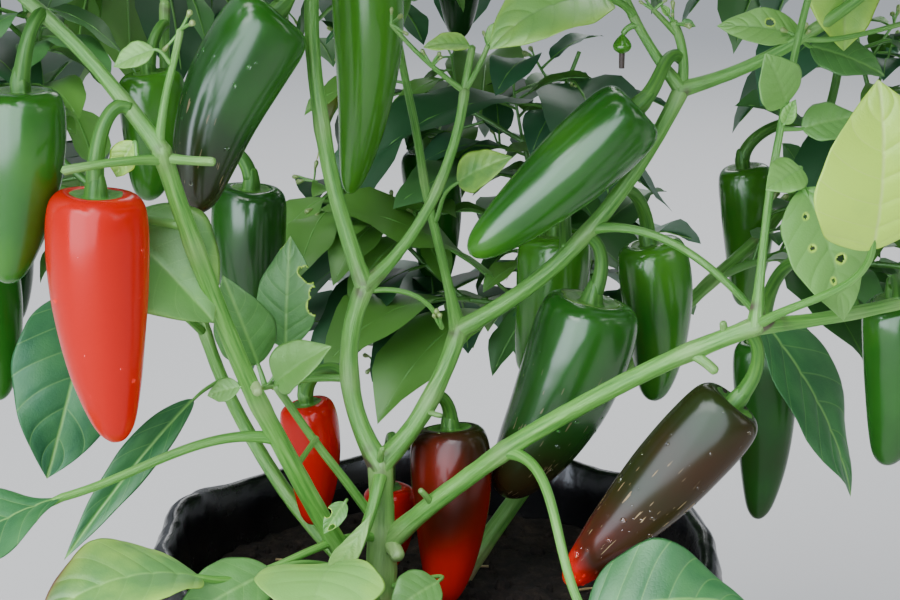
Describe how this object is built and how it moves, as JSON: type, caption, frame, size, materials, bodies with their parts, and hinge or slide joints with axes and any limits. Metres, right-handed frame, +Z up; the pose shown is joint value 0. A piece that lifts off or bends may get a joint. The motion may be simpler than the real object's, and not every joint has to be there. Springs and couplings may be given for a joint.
{
  "type": "chilli pepper plant",
  "caption": "Fruiting chilli pepper plant with forking green stems, hanging green, brown and red pods and an open leafy crown, growing in soil in a round black film grow bag.",
  "frame": {"origin": "centre of the grow bag's flat underside, on the ground", "axes": "+Z up, -Y towards the open front of the plant, +X to the right of a viewer in front of it"},
  "size_m": [0.5012, 0.4142, 0.6125],
  "materials": {
    "film": "gloss",
    "soil": "matte",
    "stem": "satin",
    "foliage": "satin",
    "leaf": "satin",
    "yellow_leaf": "satin",
    "pod_green": "gloss",
    "pod_dark": "gloss",
    "pod_red": "gloss"
  },
  "bodies": {
    "root": {"grow_bag": "film", "soil": "soil", "trunk": "stem", "left_bough": "stem", "left_bough_top": "stem", "mid_left_bough": "stem", "mid_left_rise": "stem", "mid_left_spur": "stem", "mid_right_bough": "stem", "mid_right_reach": "stem", "mid_right_arm": "stem", "mid_right_fork": "stem", "right_bough": "stem", "right_bough_outer": "stem", "right_bough_rise": "stem", "back_stem": "stem", "back_stem_top": "stem", "back_left_bough": "stem", "mid_back_spur": "stem", "fruit_left_green": "pod_green", "fruit_left_red": "pod_red", "fruit_upper_dark": "pod_dark", "fruit_upper_back": "pod_green", "fruit_hanging_long": "pod_green", "fruit_centre_green": "pod_green", "fruit_left_back": "pod_green", "fruit_small_red": "pod_red", "fruit_foot_red": "pod_red", "fruit_low_turning": "pod_dark", "fruit_middle_dark": "pod_dark", "fruit_middle_back": "pod_green", "fruit_middle_far": "pod_green", "fruit_right_turning": "pod_dark", "fruit_right_shadow": "pod_green", "fruit_right_edge": "pod_green", "fruit_right_low": "pod_green", "fruit_far_back": "pod_green", "leaf_low_left": "leaf", "leaf_yellowing": "yellow_leaf", "leaf_foot": "leaf", "leaf_left_shade": "leaf", "leaf_top_pale": "leaf", "leaf_bright_yellow": "yellow_leaf", "leaf_holed": "leaf", "leaf_right_dark": "leaf", "leaf_front_right": "leaf", "foliage_left_front": "foliage", "foliage_left": "foliage", "foliage_front": "foliage", "foliage_top": "foliage", "foliage_right_top": "foliage", "foliage_right_front": "foliage", "foliage_right": "foliage", "foliage_far_right": "foliage", "foliage_back_right": "foliage", "foliage_low_right": "foliage", "foliage_back": "foliage", "foliage_back_left": "foliage", "foliage_low_back": "foliage"}
  },
  "joints": []
}
